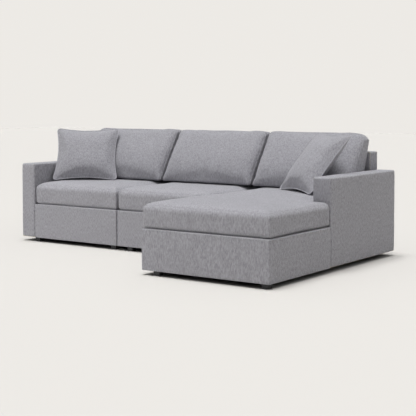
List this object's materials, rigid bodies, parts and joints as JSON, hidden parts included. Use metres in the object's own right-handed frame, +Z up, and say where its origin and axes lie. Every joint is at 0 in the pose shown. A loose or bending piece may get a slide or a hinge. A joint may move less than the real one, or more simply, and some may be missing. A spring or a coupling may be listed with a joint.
{
  "type": "sectional sofa with chaise",
  "caption": "Modular fabric sectional sofa: armed seat, armless middle seat and chaise with a right arm, loose seat and back cushions, throw pillows and low black feet.",
  "frame": {"origin": "on the floor, under the middle of the sofa's outer box", "axes": "+X to the sitter's left as seen by someone facing the sofa from the front, that is towards the chaise; +Y towards the back; +Z up"},
  "size_m": [2.811, 1.719, 0.9104],
  "materials": {
    "sofa_fabric": "even mid-grey woven upholstery fabric, faintly heathered, matte",
    "pillow_fabric": "the same mid-grey woven fabric",
    "piping_fabric": "self piping in the same grey fabric",
    "foam": "cream upholstery foam, open cell",
    "fibre_fill": "white polyester fibre in a thin case",
    "deck_felt": "dark grey needled felt",
    "dust_cloth": "black non-woven cloth",
    "timber": "planed pine, unfinished",
    "plywood": "birch plywood, unfinished",
    "spring_wire": "oiled spring steel",
    "spring_clip": "zinc-plated steel",
    "zinc_bolt": "zinc-plated steel",
    "zinc_plate": "zinc-plated pressed steel",
    "black_foot": "black moulded plastic, fine matte texture"
  },
  "bodies": {
    "middle_module": {"middle_back_cover": "sofa_fabric", "middle_back_foam": "foam", "middle_back_frame": "plywood", "middle_base_cover": "sofa_fabric", "middle_base_frame": "timber", "middle_connector_sockets": "zinc_plate", "middle_deck_pad": "deck_felt", "middle_dust_cover": "dust_cloth", "middle_feet": "black_foot", "middle_foot_bolts": "zinc_bolt", "middle_seat_springs": "spring_wire", "middle_spring_clips": "spring_clip"},
    "left_module": {"left_arm_cover": "sofa_fabric", "left_arm_foam": "foam", "left_arm_frame": "plywood", "left_back_cover": "sofa_fabric", "left_back_foam": "foam", "left_back_frame": "plywood", "left_base_cover": "sofa_fabric", "left_base_frame": "timber", "left_connector_tongues": "zinc_plate", "left_deck_pad": "deck_felt", "left_dust_cover": "dust_cloth", "left_feet": "black_foot", "left_foot_bolts": "zinc_bolt", "left_seat_springs": "spring_wire", "left_spring_clips": "spring_clip"},
    "chaise_module": {"chaise_arm_cover": "sofa_fabric", "chaise_arm_foam": "foam", "chaise_arm_frame": "plywood", "chaise_back_cover": "sofa_fabric", "chaise_back_foam": "foam", "chaise_back_frame": "plywood", "chaise_base_cover": "sofa_fabric", "chaise_base_frame": "timber", "chaise_connector_tongues": "zinc_plate", "chaise_deck_pad": "deck_felt", "chaise_dust_cover": "dust_cloth", "chaise_feet": "black_foot", "chaise_foot_bolts": "zinc_bolt", "chaise_seat_springs": "spring_wire", "chaise_spring_clips": "spring_clip"},
    "left_seat_cushion": {"left_seat_cushion_cover": "sofa_fabric", "left_seat_cushion_foam": "foam"},
    "left_back_cushion": {"left_back_cushion_cover": "sofa_fabric", "left_back_cushion_fill": "fibre_fill"},
    "middle_seat_cushion": {"middle_seat_cushion_cover": "sofa_fabric", "middle_seat_cushion_foam": "foam"},
    "middle_back_cushion": {"middle_back_cushion_cover": "sofa_fabric", "middle_back_cushion_fill": "fibre_fill"},
    "chaise_seat_cushion": {"chaise_seat_cushion_cover": "sofa_fabric", "chaise_seat_cushion_foam": "foam"},
    "chaise_back_cushion": {"chaise_back_cushion_cover": "sofa_fabric", "chaise_back_cushion_fill": "fibre_fill"},
    "left_pillow": {"left_pillow_cover": "pillow_fabric", "left_pillow_insert": "fibre_fill", "left_pillow_piping": "piping_fabric"},
    "right_pillow": {"right_pillow_cover": "pillow_fabric", "right_pillow_insert": "fibre_fill", "right_pillow_piping": "piping_fabric"}
  },
  "joints": [
    {"name": "left_module_lift", "type": "slide", "parent": "middle_module", "child": "left_module", "axis": [0, 0, 1], "range_m": [0, 0.06]},
    {"name": "chaise_module_lift", "type": "slide", "parent": "middle_module", "child": "chaise_module", "axis": [0, 0, 1], "range_m": [0, 0.06]},
    {"name": "left_seat_cushion_slide", "type": "slide", "parent": "left_module", "child": "left_seat_cushion", "axis": [0, -1, 0], "range_m": [0, 0.86]},
    {"name": "left_back_cushion_lift", "type": "slide", "parent": "left_module", "child": "left_back_cushion", "axis": [0, 0, 1], "range_m": [0, 0.3]},
    {"name": "middle_seat_cushion_slide", "type": "slide", "parent": "middle_module", "child": "middle_seat_cushion", "axis": [0, -1, 0], "range_m": [0, 0.86]},
    {"name": "middle_back_cushion_lift", "type": "slide", "parent": "middle_module", "child": "middle_back_cushion", "axis": [0, 0, 1], "range_m": [0, 0.3]},
    {"name": "chaise_seat_cushion_slide", "type": "slide", "parent": "chaise_module", "child": "chaise_seat_cushion", "axis": [0, -1, 0], "range_m": [0, 1.61]},
    {"name": "chaise_back_cushion_lift", "type": "slide", "parent": "chaise_module", "child": "chaise_back_cushion", "axis": [0, 0, 1], "range_m": [0, 0.3]},
    {"name": "left_pillow_lift", "type": "slide", "parent": "left_back_cushion", "child": "left_pillow", "axis": [0, 0, 1], "range_m": [0, 0.42]},
    {"name": "right_pillow_lift", "type": "slide", "parent": "chaise_back_cushion", "child": "right_pillow", "axis": [0, 0, 1], "range_m": [0, 0.42]}
  ]
}
